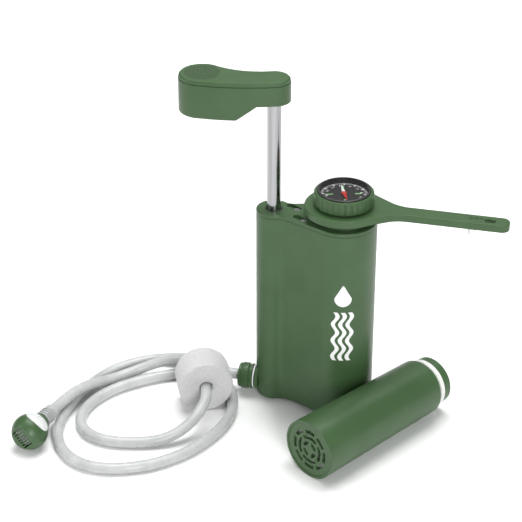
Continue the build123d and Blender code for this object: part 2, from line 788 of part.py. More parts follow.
with BuildPart() as cartridge_tube:
    with BuildSketch(cart_plane.offset(rim_l)):
        Circle(cartridge_r)
    with BuildSketch(cart_plane.offset(tube_l)):
        Circle(cartridge_end_r)
    loft()
    with BuildSketch(cart_plane):
        Circle(cartridge_r)
    extrude(amount=rim_l)
    far = cartridge_tube.faces().sort_by_distance(cart_plane.offset(tube_l).origin)[0]
    fillet(far.edges(), shoulder_r)
    with BuildSketch(cart_plane.offset(tube_l)):
        Circle(cart_neck_r)
    extrude(amount=cart_neck_l)
    chamfer(cartridge_tube.faces().sort_by_distance(cart_plane.offset(cart_end).origin)[0].edges(),
            0.6)
    with BuildSketch(cart_plane):
        Circle(cartridge_end_r - cart_wall + 0.2)
    extrude(amount=tube_l - 3, mode=Mode.SUBTRACT)
    with BuildSketch(cart_plane):
        Circle(cartridge_r - cart_wall)
    extrude(amount=grille_t, mode=Mode.SUBTRACT)
    with BuildSketch(cart_plane.offset(tube_l - 4)):
        Circle(4)
    extrude(amount=cart_end - tube_l + 4, mode=Mode.SUBTRACT)
    with BuildSketch(cart_plane.offset(ring_from)):
        Circle(cart_neck_r + 1)
        Circle(cart_neck_r - 1.6, mode=Mode.SUBTRACT)
    extrude(amount=cart_ring_l, mode=Mode.SUBTRACT)
finish(cartridge_tube, "cartridge_tube")

with BuildPart() as cartridge_grille:
    with BuildSketch(cart_plane.offset(0.4)):
        Circle(cartridge_r - cart_wall - running)
    extrude(amount=grille_t - 0.5)
    for r_in, r_out, count, turn in ((12.7, 15.3, 8, 22.5), (8.2, 10.8, 4, 45), (3.8, 6.3, 4, 0)):
        with BuildSketch(cart_plane):
            Circle(r_out)
            Circle(r_in, mode=Mode.SUBTRACT)
            with PolarLocations(r_out, count, start_angle=turn):
                Rectangle(2 * (r_out - r_in) + 6, 2.6, mode=Mode.SUBTRACT)
        extrude(amount=grille_t, mode=Mode.SUBTRACT)
finish(cartridge_grille, "cartridge_grille")

with BuildPart() as cartridge_ring:
    with BuildSketch(cart_plane.offset(ring_from + fit)):
        Circle(cart_ring_r)
        Circle(cart_neck_r - 1.6 + fit, mode=Mode.SUBTRACT)
    extrude(amount=cart_ring_l - 2 * fit)
finish(cartridge_ring, "cartridge_ring")

for name, z_from, length, radius in (
        ("prefilter_sponge", grille_t + 1, 9.0, cartridge_end_r - cart_wall - 0.4),
        ("carbon_block", grille_t + 11, 40.0, cartridge_end_r - cart_wall - 0.6),
        ("fibre_bundle", grille_t + 52, 56.0, cartridge_end_r - cart_wall - 1.4)):
    with BuildPart() as medium:
        with BuildSketch(cart_plane.offset(z_from)):
            Circle(radius)
        extrude(amount=length)
        chamfer(medium.edges().filter_by(GeomType.CIRCLE), 0.5)
    finish(medium, name)

# ---- float --------------------------------------------------------------------------------
float_dir = heading(float_angle)
float_start = Vector(*float_front, float_r)
float_plane = Plane(origin=float_start, z_dir=float_dir)

with BuildPart() as foam_float:
    with BuildSketch(float_plane):
        Circle(float_r)
    extrude(amount=float_l)
    fillet(foam_float.edges().filter_by(GeomType.CIRCLE), 1.2)
    with BuildSketch(float_plane):
        Circle(float_bore_r)
    extrude(amount=float_l, mode=Mode.SUBTRACT)
finish(foam_float, "foam_float")

# ---- strainer -----------------------------------------------------------------------------
strainer_dir = heading(strainer_angle)
strainer_plane = Plane(origin=strainer_at, z_dir=strainer_dir)
coupling_l = 9.0
ball_at = 24.0
shell_t = 1.5
split_at = ball_at + 3.0
flat_at = ball_at + 9.6
ball_plane = strainer_plane.offset(ball_at)

with BuildPart() as strainer_coupling:
    with BuildSketch(strainer_plane):
        Circle(barb_r)
    extrude(amount=-6)
    for step in range(4):
        with BuildSketch(strainer_plane.offset(step * coupling_l / 4)):
            Circle(6.0)
        extrude(amount=coupling_l / 8)
    with BuildSketch(strainer_plane):
        Circle(5.2)
    extrude(amount=coupling_l)
    with BuildSketch(strainer_plane.offset(coupling_l)):
        Circle(4.0)
    extrude(amount=6.0)
    with BuildSketch(strainer_plane.offset(-6)):
        Circle(1.5)
    extrude(amount=coupling_l + 12, mode=Mode.SUBTRACT)
finish(strainer_coupling, "strainer_coupling")

with BuildPart() as hose_clamp:
    with BuildSketch(strainer_plane.offset(-1.0)):
        Circle(hose_r + 1.4)
        Circle(hose_r + fit, mode=Mode.SUBTRACT)
    extrude(amount=-4.0)
finish(hose_clamp, "hose_clamp")

strainer_side = heading(strainer_angle + 90)
cover_tilt = (strainer_side * 0.5 - strainer_dir * 0.34 + Vector(0, 0, 0.86)).normalized()
cover_l = 9.4              # half length and half width of the oval cover
cover_w = 6.4
cover_plane = Plane(origin=ball_plane.origin, x_dir=cover_tilt.cross(strainer_dir).normalized(),
                    z_dir=cover_tilt)

with BuildPart() as cover_core:
    with BuildSketch(cover_plane):
        Ellipse(cover_l, cover_w)
    extrude(amount=2 * ball_strainer_r)

with BuildPart() as strainer_body:
    with Locations(ball_plane):
        Sphere(ball_strainer_r)
    with BuildSketch(strainer_plane.offset(coupling_l + fit)):
        Circle(6.4)
    with BuildSketch(ball_plane.offset(-5)):
        Circle(12.0)
    loft()
    split(bisect_by=strainer_plane.offset(split_at), keep=Keep.BOTTOM)
    with Locations(ball_plane):
        Sphere(ball_strainer_r - shell_t, mode=Mode.SUBTRACT)
    with BuildSketch(strainer_plane.offset(coupling_l)):
        Circle(4.0 + fit)
    extrude(amount=10, mode=Mode.SUBTRACT)
    for turn in range(0, 360, 20):
        out = strainer_side * math.cos(math.radians(turn)) + Vector(0, 0, math.sin(math.radians(turn)))
        if out.dot(cover_tilt) > 0.3:
            continue
        with BuildSketch(Plane(origin=ball_plane.offset(-2).origin, x_dir=strainer_dir, z_dir=out)):
            Rectangle(8.0, 1.2)
        extrude(amount=ball_strainer_r + 2, mode=Mode.SUBTRACT)
    add(cover_core.part, mode=Mode.SUBTRACT)
finish(strainer_body, "strainer_body")

with BuildPart() as strainer_cover:
    with BuildSketch(cover_plane):
        Ellipse(cover_l - fit, cover_w - fit)
    extrude(amount=2 * ball_strainer_r)
    with Locations(ball_plane):
        Sphere(ball_strainer_r + 0.5, mode=Mode.INTERSECT)
    with Locations(ball_plane):
        Sphere(ball_strainer_r - shell_t + fit, mode=Mode.SUBTRACT)
finish(strainer_cover, "strainer_cover")

with BuildPart() as strainer_room:
    with Locations(ball_plane):
        Sphere(ball_strainer_r - shell_t)
    split(bisect_by=strainer_plane.offset(flat_at - 1.6), keep=Keep.BOTTOM)

with BuildPart() as strainer_grille:
    with Locations(ball_plane):
        Sphere(ball_strainer_r)
    split(bisect_by=strainer_plane.offset(split_at + fit), keep=Keep.TOP)
    split(bisect_by=strainer_plane.offset(flat_at), keep=Keep.BOTTOM)
    add(strainer_room.part, mode=Mode.SUBTRACT)
    with BuildSketch(Plane(origin=strainer_plane.offset(split_at).origin,
                           x_dir=strainer_side + Vector(0, 0, 1), z_dir=strainer_dir)):
        with GridLocations(0, 2.1, 1, 7):
            SlotOverall(9.5, 1.2)
    extrude(amount=ball_strainer_r, mode=Mode.SUBTRACT)
finish(strainer_grille, "strainer_grille")

with BuildPart() as strainer_sponge:
    with BuildSketch(strainer_plane.offset(coupling_l + 7)):
        Circle(6.4)
    extrude(amount=flat_at - 2.6 - coupling_l - 7)
finish(strainer_sponge, "strainer_sponge")

# ---- hose ---------------------------------------------------------------------------------
# Out of the nut, round the back to the large loop, behind the float into the small loop, up
# through the float and back to the strainer. It lies on the floor where nothing lifts it.
low = hose_r + 0.1
hose_start = inlet_plane.origin + inlet_dir * hose_from
float_in = float_start - float_dir * 7.5
float_out = float_start + float_dir * (float_l + 7.5)
nut_exit = inlet_plane.origin + inlet_dir * 37.3
strainer_in = Vector(*strainer_at) - strainer_dir * 13.0
route = [
    hose_start, nut_exit, (-100.5, 1.2, 12.6), (-112.0, 7.5, 11.6),
    (-124.5, 12.0, 8.6), (-138.0, 13.5, 5.0), (-152.0, 8.5, low), (-165.0, -2.0, low),
    (-176.0, -16.5, low), (-182.0, -33.0, low), (-185.5, -50.0, low), (-187.0, -67.5, low),
    (-186.5, -85.0, low), (-182.5, -101.5, low), (-175.0, -116.0, low), (-164.0, -127.0, low),
    (-150.0, -133.5, low), (-134.5, -133.8, low), (-118.5, -128.5, low), (-103.0, -119.0, low),
    (-89.5, -105.0, low), (-79.5, -88.5, low), (-72.8, -70.5, low), (-69.8, -52.5, low),
    (-70.8, -37.5, low), (-74.8, -24.0, low), (-80.2, -12.3, low), (-88.3, -3.4, low),
    (-99.0, 1.2, low), (-111.5, 1.6, low), (-124.0, -3.0, low), (-137.0, -11.0, low),
    (-150.0, -22.0, low), (-161.5, -34.5, low), (-169.5, -48.0, low), (-174.2, -63.0, low),
    (-174.2, -77.5, low), (-169.1, -89.9, low), (-159.2, -98.5, low), (-146.7, -101.7, low),
    (-134.2, -100.7, low), (-122.2, -97.2, low), (-109.8, -92.2, 4.5), (-98.4, -84.4, 7.2),
    (-89.8, -73.4, 12.2), (-85.8, -59.7, 17.6), float_in, float_out, (-115.3, -2.8, 19.0),
    (-127.5, 0.2, 15.3), (-140.1, -2.0, 11.0), (-152.1, -8.2, 7.0), (-162.7, -17.2, 4.6),
    (-171.2, -28.5, 4.9), (-177.2, -42.0, 9.2),
    (-182.2, -56.5, 13.0), (-186.6, -70.0, 13.1), strainer_in, strainer_at]
route = [Vector(*p) if isinstance(p, tuple) else p for p in route]
runs = [(b - a).length for a, b in zip(route, route[1:])]
radii = []
for i in range(1, len(route) - 1):
    half = math.radians((route[i] - route[i - 1]).get_angle(route[i + 1] - route[i])) / 2
    radii.append(0.45 * min(runs[i - 1], runs[i]) / math.tan(half))
hose_path = FilletPolyline(*route, radius=radii)
section = math.pi * (hose_r**2 - hose_bore_r**2)

with BuildPart() as hose:
    with BuildSketch(Plane(origin=route[0], z_dir=inlet_dir)):
        Circle(hose_r)
        Circle(hose_bore_r, mode=Mode.SUBTRACT)
    sweep(path=hose_path)
finish(hose, "hose")

print("hose length", round(hose_path.length, 1),
      "volume ratio", round(hose.part.volume / section / hose_path.length, 4))
print("tightest radii", [(i + 1, round(r, 1)) for i, r in enumerate(radii) if r < 5 * 2 * hose_r])
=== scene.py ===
import json
import math

import bmesh
import bpy
from mathutils import Matrix, Vector, noise

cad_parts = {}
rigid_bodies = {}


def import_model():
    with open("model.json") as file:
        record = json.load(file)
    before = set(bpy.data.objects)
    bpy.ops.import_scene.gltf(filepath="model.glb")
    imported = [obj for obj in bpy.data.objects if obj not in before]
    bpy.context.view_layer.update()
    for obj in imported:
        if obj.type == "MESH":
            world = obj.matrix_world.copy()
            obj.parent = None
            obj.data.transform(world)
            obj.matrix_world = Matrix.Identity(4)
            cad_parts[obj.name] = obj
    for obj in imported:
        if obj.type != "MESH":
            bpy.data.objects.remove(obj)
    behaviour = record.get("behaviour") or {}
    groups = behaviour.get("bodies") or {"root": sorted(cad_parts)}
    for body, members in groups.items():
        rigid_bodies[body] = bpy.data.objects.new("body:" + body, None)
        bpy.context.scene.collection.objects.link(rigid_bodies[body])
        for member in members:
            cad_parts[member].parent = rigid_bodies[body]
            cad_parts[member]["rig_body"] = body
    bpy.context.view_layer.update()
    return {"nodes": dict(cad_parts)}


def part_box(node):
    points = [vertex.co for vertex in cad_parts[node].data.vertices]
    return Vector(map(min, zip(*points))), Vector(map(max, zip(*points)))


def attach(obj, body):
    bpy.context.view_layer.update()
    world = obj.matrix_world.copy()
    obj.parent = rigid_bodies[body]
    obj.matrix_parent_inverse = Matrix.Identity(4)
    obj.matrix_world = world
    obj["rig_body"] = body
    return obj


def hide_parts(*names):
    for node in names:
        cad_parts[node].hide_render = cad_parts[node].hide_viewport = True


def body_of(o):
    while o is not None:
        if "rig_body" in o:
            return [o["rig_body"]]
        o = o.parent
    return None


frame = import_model()

# ---- camera -------------------------------------------------------------------------------
# It stands above the front, a little to the outlet side, and looks down at the filter with
# a long lens.
look_at = Vector((-0.06057, 0.0, 0.1119))
azimuth = math.radians(17.98)
elevation = math.radians(29.5)
to_camera = Vector((math.sin(azimuth) * math.cos(elevation),
                    -math.cos(azimuth) * math.cos(elevation), math.sin(elevation)))
camera_data = bpy.data.cameras.new("studio_camera")
camera_data.lens = 114.6
camera_data.sensor_width = 36.0
camera_data.clip_end = 20.0
camera = bpy.data.objects.new("studio_camera", camera_data)
camera.location = look_at + to_camera * 1.2
camera.rotation_euler = to_camera.to_track_quat("Z", "Y").to_euler()
bpy.context.scene.collection.objects.link(camera)
bpy.context.scene.camera = camera

# ---- hose ---------------------------------------------------------------------------------
# One length of limp, milky silicone hose. It is pushed on the
# barb in the nut, looped twice on the floor, threaded through the float and pushed on the
# strainer's barb.
hose_d = 0.008
hose_route = [
    (-0.075606, -0.002153, 0.0125), (-0.088158, -0.003251, 0.0125), (-0.1005, 0.0012, 0.0126),
    (-0.1120, 0.0075, 0.0116), (-0.1245, 0.0120, 0.0086), (-0.1380, 0.0135, 0.0050),
    (-0.1520, 0.0085, 0.0041), (-0.1650, -0.0020, 0.0041), (-0.1760, -0.0165, 0.0041),
    (-0.1820, -0.0330, 0.0041), (-0.1855, -0.0500, 0.0041), (-0.1870, -0.0675, 0.0041),
    (-0.1865, -0.0850, 0.0041), (-0.1825, -0.1015, 0.0041), (-0.1750, -0.1160, 0.0041),
    (-0.1640, -0.1270, 0.0041), (-0.1500, -0.1335, 0.0041), (-0.1345, -0.1338, 0.0041),
    (-0.1185, -0.1285, 0.0041), (-0.1030, -0.1190, 0.0041), (-0.0895, -0.1050, 0.0041),
    (-0.0795, -0.0885, 0.0041), (-0.0728, -0.0705, 0.0041), (-0.0698, -0.0525, 0.0041),
    (-0.0708, -0.0375, 0.0041), (-0.0748, -0.0240, 0.0041), (-0.0802, -0.0123, 0.0041),
    (-0.0883, -0.0034, 0.0041), (-0.0990, 0.0012, 0.0041), (-0.1115, 0.0016, 0.0041),
    (-0.1240, -0.0030, 0.0041), (-0.1370, -0.0110, 0.0041), (-0.1500, -0.0220, 0.0041),
    (-0.1615, -0.0345, 0.0041), (-0.1695, -0.0480, 0.0041), (-0.1742, -0.0630, 0.0041),
    (-0.1742, -0.0775, 0.0041), (-0.1691, -0.0899, 0.0041), (-0.1592, -0.0985, 0.0041),
    (-0.1467, -0.1017, 0.0041), (-0.1342, -0.1007, 0.0041), (-0.1222, -0.0972, 0.0041),
    (-0.1098, -0.0922, 0.0045), (-0.0984, -0.0844, 0.0072), (-0.0898, -0.0734, 0.0122),
    (-0.0858, -0.0597, 0.0176), (-0.086779, -0.045222, 0.0205),
    (-0.105323, -0.010346, 0.0205), (-0.1153, -0.0028, 0.0190), (-0.1275, 0.0002, 0.0153),
    (-0.1401, -0.0020, 0.0110), (-0.1521, -0.0082, 0.0070), (-0.1627, -0.0172, 0.0046),
    (-0.1712, -0.0285, 0.0049), (-0.1772, -0.0420, 0.0092), (-0.1822, -0.0565, 0.0130),
    (-0.1866, -0.0700, 0.0131), (-0.189366, -0.083160, 0.0130), (-0.1914, -0.0960, 0.0130)]


def start_finish(name, colour, roughness, metallic=0.0):
    """A new finish for a slot, with its colour and gloss set on the shader."""
    finish = bpy.data.materials.new(name + "_finish")
    finish["slot"] = name
    finish.use_nodes = True
    shader = finish.node_tree.nodes["Principled BSDF"]
    shader.inputs["Base Color"].default_value = (*colour, 1.0)
    shader.inputs["Roughness"].default_value = roughness
    shader.inputs["Metallic"].default_value = metallic
    return finish


def noise_on(finish, scale, detail, stretch=(1.0, 1.0, 1.0)):
    """Noise over the piece, in its own coordinates, stretched along an axis if need be."""
    nodes, links = finish.node_tree.nodes, finish.node_tree.links
    coords = nodes.new("ShaderNodeTexCoord")
    mapping = nodes.new("ShaderNodeMapping")
    mapping.inputs["Scale"].default_value = stretch
    cloud = nodes.new("ShaderNodeTexNoise")
    cloud.inputs["Scale"].default_value = scale
    cloud.inputs["Detail"].default_value = detail
    links.new(coords.outputs["Object"], mapping.inputs["Vector"])
    links.new(mapping.outputs["Vector"], cloud.inputs["Vector"])
    return cloud.outputs["Fac"]


def add_tone(finish, dark, light, scale, gloss, stretch=(1.0, 1.0, 1.0)):
    """Varies the colour between two close tones, and the gloss between two values."""
    nodes, links = finish.node_tree.nodes, finish.node_tree.links
    cloud = noise_on(finish, scale, 4.0, stretch)
    tones = nodes.new("ShaderNodeValToRGB")
    tones.color_ramp.elements[0].position = 0.3
    tones.color_ramp.elements[0].color = (*dark, 1.0)
    tones.color_ramp.elements[1].position = 0.7
    tones.color_ramp.elements[1].color = (*light, 1.0)
    links.new(cloud, tones.inputs["Fac"])
    links.new(tones.outputs["Color"], nodes["Principled BSDF"].inputs["Base Color"])
    shine = nodes.new("ShaderNodeMapRange")
    shine.inputs["To Min"].default_value = gloss[0]
    shine.inputs["To Max"].default_value = gloss[1]
    links.new(noise_on(finish, scale * 3, 3.0, stretch), shine.inputs["Value"])
    links.new(shine.outputs["Result"], nodes["Principled BSDF"].inputs["Roughness"])


def add_grain(finish, scale, depth, edge=0.0003, stretch=(1.0, 1.0, 1.0)):
    """Fine surface grain, over edges that are rounded a little unless edge is zero."""
    nodes, links = finish.node_tree.nodes, finish.node_tree.links
    grain = nodes.new("ShaderNodeBump")
    grain.inputs["Strength"].default_value = 1.0
    grain.inputs["Distance"].default_value = depth
    links.new(noise_on(finish, scale, 2.0, stretch), grain.inputs["Height"])
    links.new(grain.outputs["Normal"], nodes["Principled BSDF"].inputs["Normal"])
    if edge:
        soft_edge = nodes.new("ShaderNodeBevel")
        soft_edge.samples = 4
        soft_edge.inputs["Radius"].default_value = edge
        links.new(soft_edge.outputs["Normal"], grain.inputs["Normal"])


hose_silicone = start_finish("hose_silicone", (0.80, 0.82, 0.82), 0.3)
add_tone(hose_silicone, (0.42, 0.43, 0.43), (0.52, 0.53, 0.53), 60.0, (0.2, 0.32))
add_grain(hose_silicone, 300.0, 0.000006, edge=0.0)
silicone_shader = hose_silicone.node_tree.nodes["Principled BSDF"]
silicone_shader.inputs["IOR"].default_value = 1.41
silicone_shader.inputs["Subsurface Weight"].default_value = 0.35
silicone_shader.inputs["Subsurface Radius"].default_value = (1.0, 1.0, 1.0)
silicone_shader.inputs["Subsurface Scale"].default_value = 0.0015

hose_curve = bpy.data.curves.new("silicone_hose", "CURVE")
hose_curve.dimensions = "3D"
hose_curve.bevel_depth = hose_d / 2
hose_curve.bevel_resolution = 5
hose_curve.use_fill_caps = True
hose_line = hose_curve.splines.new("NURBS")
hose_line.points.add(len(hose_route) - 1)
for point, place in zip(hose_line.points, hose_route):
    point.co = (*place, 1.0)
hose_line.order_u = 3
hose_line.use_endpoint_u = True
hose_line.resolution_u = 8
hose_curve.materials.append(hose_silicone)
hose = bpy.data.objects.new("silicone_hose", hose_curve)
bpy.context.scene.collection.objects.link(hose)
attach(hose, "pump_body")
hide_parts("hose")

# ---- float --------------------------------------------------------------------------------
# A short drum of closed-cell foam with a hole through it, cut from a rod. It grips the hose
# and keeps the strainer off the bottom.
float_r = 0.0205
float_l = 0.0245
float_bore = 0.0048
float_heading = Vector((math.cos(math.radians(118)), math.sin(math.radians(118)), 0.0))
float_front = Vector((-0.0903, -0.0386, 0.0205))


def turned(profile, steps=72):
    """A solid of revolution about Z from a closed outline of (radius, height) points."""
    shape = bmesh.new()
    rim = [shape.verts.new((r, 0.0, z)) for r, z in profile]
    outline = [shape.edges.new(pair) for pair in zip(rim, rim[1:] + rim[:1])]
    bmesh.ops.spin(shape, geom=rim + outline, axis=(0, 0, 1), cent=(0, 0, 0),
                   angle=2 * math.pi, steps=steps, use_merge=True)
    bmesh.ops.remove_doubles(shape, verts=shape.verts, dist=1e-7)
    bmesh.ops.recalc_face_normals(shape, faces=shape.faces)
    return shape


def stand(shape, origin, direction):
    """Turns a shape made about Z to its own direction and moves it to its place."""
    turn = Vector(direction).normalized().to_track_quat("Z", "Y").to_matrix().to_4x4()
    bmesh.ops.transform(shape, matrix=Matrix.Translation(origin) @ turn, verts=shape.verts)
    return shape


def settle(shape, name, finish, body, *stands_for, crease=32.0):
    """Makes the shape a piece of the object, smooth but for its creases, on its body."""
    for face in shape.faces:
        face.smooth = True
    for edge in shape.edges:
        edge.smooth = edge.is_manifold and edge.calc_face_angle() < math.radians(crease)
    mesh = bpy.data.meshes.new(name)
    shape.to_mesh(mesh)
    shape.free()
    mesh.materials.append(finish)
    piece = bpy.data.objects.new(name, mesh)
    bpy.context.scene.collection.objects.link(piece)
    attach(piece, body)
    if stands_for:
        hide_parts(*stands_for)
    return piece


foam = start_finish("foam", (0.55, 0.55, 0.55), 0.8)
add_tone(foam, (0.50, 0.50, 0.50), (0.58, 0.58, 0.58), 700.0, (0.7, 0.9))
add_grain(foam, 2200.0, 0.00003, edge=0.0006)
foam.node_tree.nodes["Principled BSDF"].inputs["Sheen Weight"].default_value = 0.25

float_round = 0.0016
float_outline = [(float_bore, 0.0006), (float_bore + 0.0006, 0.0), (float_r - float_round, 0.0)]
for step in range(1, 6):
    bend = step * math.pi / 12
    float_outline.append((float_r - float_round + float_round * math.sin(bend),
                          float_round - float_round * math.cos(bend)))
float_outline += [(float_r, float_round + (float_l - 2 * float_round) * step / 6)
                  for step in range(7)]
for step in range(1, 6):
    bend = step * math.pi / 12
    float_outline.append((float_r - float_round + float_round * math.cos(bend),
                          float_l - float_round + float_round * math.sin(bend)))
float_outline += [(float_r - float_round, float_l), (float_bore + 0.0006, float_l),
                  (float_bore, float_l - 0.0006)]
float_drum = turned(float_outline, 96)
for vert in float_drum.verts:
    if vert.co.xy.length > float_bore + 0.001:
        vert.co -= Vector((vert.co.x, vert.co.y, 0.0)).normalized() * (
            0.0003 * (1 + noise.noise(vert.co * 300.0)))
float_piece = settle(stand(float_drum, float_front, float_heading), "foam_drum", foam, "float",
                     "foam_float", crease=60.0)

# ---- housing and cover --------------------------------------------------------------------
# Two-lobed body in green plastic with a satin grain, moulded in one, and a flat cover that
# is screwed on its top. A fine dark line of painted shade shows where they meet.
cover_joint_z = 0.154


def reskin(node, finish, crease=32.0):
    """Joins a part's loose facets into one skin with clean edges, in its own finish."""
    part = frame["nodes"][node]
    skin = bmesh.new()
    skin.from_mesh(part.data)
    bmesh.ops.remove_doubles(skin, verts=skin.verts, dist=2e-6)
    for face in skin.faces:
        face.material_index = 0
    piece = settle(skin, node + "_skin", finish, body_of(part)[0], node, crease=crease)
    even = piece.modifiers.new("even_shading", "WEIGHTED_NORMAL")
    even.keep_sharp = True
    return piece


green_plastic = start_finish("green_plastic", (0.044, 0.094, 0.035), 0.38)
add_tone(green_plastic, (0.040, 0.088, 0.032), (0.048, 0.101, 0.039), 45.0, (0.33, 0.43))
green_plastic.node_tree.nodes["Principled BSDF"].inputs["Specular IOR Level"].default_value = 0.4
add_grain(green_plastic, 2400.0, 0.000018, edge=0.0004)

body_plastic = green_plastic.copy()
body_plastic.name = "green_plastic_body"
body_nodes, body_links = body_plastic.node_tree.nodes, body_plastic.node_tree.links
body_shader = body_nodes["Principled BSDF"]
height = body_nodes.new("ShaderNodeSeparateXYZ")
body_links.new(body_nodes["Texture Coordinate"].outputs["Object"], height.inputs["Vector"])
# Painted shade: a thin band at the cover joint's height is darkened, in place of the shade in
# the gap between cover and housing.
near_joint = body_nodes.new("ShaderNodeMath")
near_joint.operation = "COMPARE"
near_joint.inputs[1].default_value = cover_joint_z
near_joint.inputs[2].default_value = 0.00028
body_links.new(height.outputs["Z"], near_joint.inputs[0])
joint_painted_shade = body_nodes.new("ShaderNodeMix")
joint_painted_shade.data_type = "RGBA"
joint_painted_shade.inputs["B"].default_value = (0.010, 0.022, 0.008, 1.0)
body_tone = body_shader.inputs["Base Color"].links[0].from_socket
body_links.new(near_joint.outputs[0], joint_painted_shade.inputs["Factor"])
body_links.new(body_tone, joint_painted_shade.inputs["A"])
body_links.new(joint_painted_shade.outputs["Result"], body_shader.inputs["Base Color"])

for part_name in ("housing", "top_cover"):
    reskin(part_name, body_plastic)

# ---- cover screws -------------------------------------------------------------------------
# Two zinc-plated screws with crossed recesses, each at one end of an oblong pocket.
screw_steel = start_finish("screw_steel", (0.66, 0.66, 0.67), 0.25, metallic=1.0)
add_tone(screw_steel, (0.58, 0.58, 0.59), (0.74, 0.74, 0.75), 700.0, (0.18, 0.34))
add_grain(screw_steel, 5000.0, 0.000004, edge=0.0001)
for part_name in ("cover_screws", "handle_screw", "piston_screw", "handle_washer"):
    reskin(part_name, screw_steel)

# ---- pump rod and its bush ----------------------------------------------------------------
# Polished stainless rod in a black bush that stands a little proud of the cover.
steel = start_finish("steel", (0.38, 0.38, 0.39), 0.16, metallic=1.0)
add_tone(steel, (0.30, 0.30, 0.31), (0.46, 0.46, 0.47), 520.0, (0.12, 0.2), (1.0, 1.0, 0.015))
add_grain(steel, 3000.0, 0.0000015, edge=0.0002, stretch=(1.0, 1.0, 0.03))
reskin("piston_rod", steel)

black_plastic = start_finish("black_plastic", (0.02, 0.021, 0.02), 0.38)
add_tone(black_plastic, (0.014, 0.015, 0.014), (0.028, 0.029, 0.028), 300.0, (0.3, 0.45))
add_grain(black_plastic, 2400.0, 0.000012, edge=0.0003)
reskin("rod_bush", black_plastic)

# ---- handle -------------------------------------------------------------------------------
# Deep shell with a flat lid, both moulded in the body's plastic. The lid has a field of
# small dimples over the palm, their hollows darkened with painted shade, and a bevelled rim.
rod_x = -0.051
palm_reach = 0.050
palm_heading = math.radians(189)
dimple_field_r = 0.0125
lid_top = 0.257
palm_centre = Vector((rod_x + palm_reach * math.cos(palm_heading),
                      palm_reach * math.sin(palm_heading), lid_top))
reskin("handle_shell", green_plastic)

lid_plastic = green_plastic.copy()
lid_plastic.name = "green_plastic_lid"
lid_nodes, lid_links = lid_plastic.node_tree.nodes, lid_plastic.node_tree.links
dimples = lid_nodes.new("ShaderNodeTexVoronoi")
dimples.voronoi_dimensions = "2D"
dimples.inputs["Scale"].default_value = 460.0
dimples.inputs["Randomness"].default_value = 0.0
dimple_turn = lid_nodes.new("ShaderNodeMapping")
dimple_turn.inputs["Rotation"].default_value = (0.0, 0.0, math.radians(45))
lid_coords = lid_nodes["Texture Coordinate"].outputs["Object"]
lid_links.new(lid_coords, dimple_turn.inputs["Vector"])
lid_links.new(dimple_turn.outputs["Vector"], dimples.inputs["Vector"])
dimple_shape = lid_nodes.new("ShaderNodeMapRange")
dimple_shape.inputs["From Min"].default_value = 0.15
dimple_shape.inputs["From Max"].default_value = 0.42
lid_links.new(dimples.outputs["Distance"], dimple_shape.inputs["Value"])
from_palm = lid_nodes.new("ShaderNodeVectorMath")
from_palm.operation = "SUBTRACT"
from_palm.inputs[1].default_value = palm_centre
lid_links.new(lid_coords, from_palm.inputs[0])
palm_distance = lid_nodes.new("ShaderNodeVectorMath")
palm_distance.operation = "LENGTH"
lid_links.new(from_palm.outputs["Vector"], palm_distance.inputs[0])
in_field = lid_nodes.new("ShaderNodeMath")
in_field.operation = "GREATER_THAN"
in_field.inputs[1].default_value = dimple_field_r
lid_links.new(palm_distance.outputs["Value"], in_field.inputs[0])
field = lid_nodes.new("ShaderNodeMath")
field.operation = "MAXIMUM"
lid_links.new(dimple_shape.outputs["Result"], field.inputs[0])
lid_links.new(in_field.outputs[0], field.inputs[1])
dent = lid_nodes.new("ShaderNodeBump")
dent.inputs["Strength"].default_value = 1.0
dent.inputs["Distance"].default_value = 0.0005
lid_links.new(field.outputs[0], dent.inputs["Height"])
lid_links.new(lid_nodes["Bevel"].outputs["Normal"], dent.inputs["Normal"])
lid_links.new(dent.outputs["Normal"], lid_nodes["Bump"].inputs["Normal"])
lid_shader = lid_nodes["Principled BSDF"]
lid_tone = lid_shader.inputs["Base Color"].links[0].from_socket
# Painted shade: the lid's colour darkens towards each dimple's middle, where shade would fall in
# the hollow.
dimple_painted_shade = lid_nodes.new("ShaderNodeMix")
dimple_painted_shade.data_type = "RGBA"
dimple_painted_shade.inputs["A"].default_value = (0.014, 0.031, 0.011, 1.0)
lid_links.new(field.outputs[0], dimple_painted_shade.inputs["Factor"])
lid_links.new(lid_tone, dimple_painted_shade.inputs["B"])
lid_links.new(dimple_painted_shade.outputs["Result"], lid_shader.inputs["Base Color"])
reskin("handle_lid", lid_plastic)

# ---- filter head and outlet arm -----------------------------------------------------------
# The head is the plug of the filter well, in darker plastic. The arm turns on it and ends
# in an oblong lanyard hole, with three small bubbles raised beside it.
green_dark = start_finish("green_dark", (0.026, 0.056, 0.022), 0.42)
add_tone(green_dark, (0.022, 0.050, 0.019), (0.030, 0.063, 0.026), 60.0, (0.38, 0.48))
add_grain(green_dark, 2400.0, 0.000018, edge=0.0004)
reskin("filter_head", green_dark)
reskin("outlet_arm", green_plastic)
reskin("arm_strip", green_dark)

arm_angle = math.radians(4.0)
arm_along = Vector((math.cos(arm_angle), math.sin(arm_angle), 0.0))
arm_across = Vector((-math.sin(arm_angle), math.cos(arm_angle), 0.0))
arm_top = 0.168
bubble_wall = 0.0004
bubble_rise = 0.0002
bubbles = bmesh.new()
for along, across, radius in ((0.0885, 0.0009, 0.0015), (0.0924, 0.0013, 0.0012),
                              (0.0958, 0.0016, 0.0009)):
    bubble = turned([(radius - bubble_wall, -bubble_rise), (radius, -bubble_rise),
                     (radius, bubble_rise), (radius - bubble_wall, bubble_rise)], 24)
    spot = arm_along * along + arm_across * across + Vector((0, 0, arm_top))
    bmesh.ops.transform(bubble, matrix=Matrix.Translation(spot), verts=bubble.verts)
    ring = bpy.data.meshes.new("bubble")
    bubble.to_mesh(ring)
    bubbles.from_mesh(ring)
    bubble.free()
settle(bubbles, "arm_bubbles", green_dark, "arm")

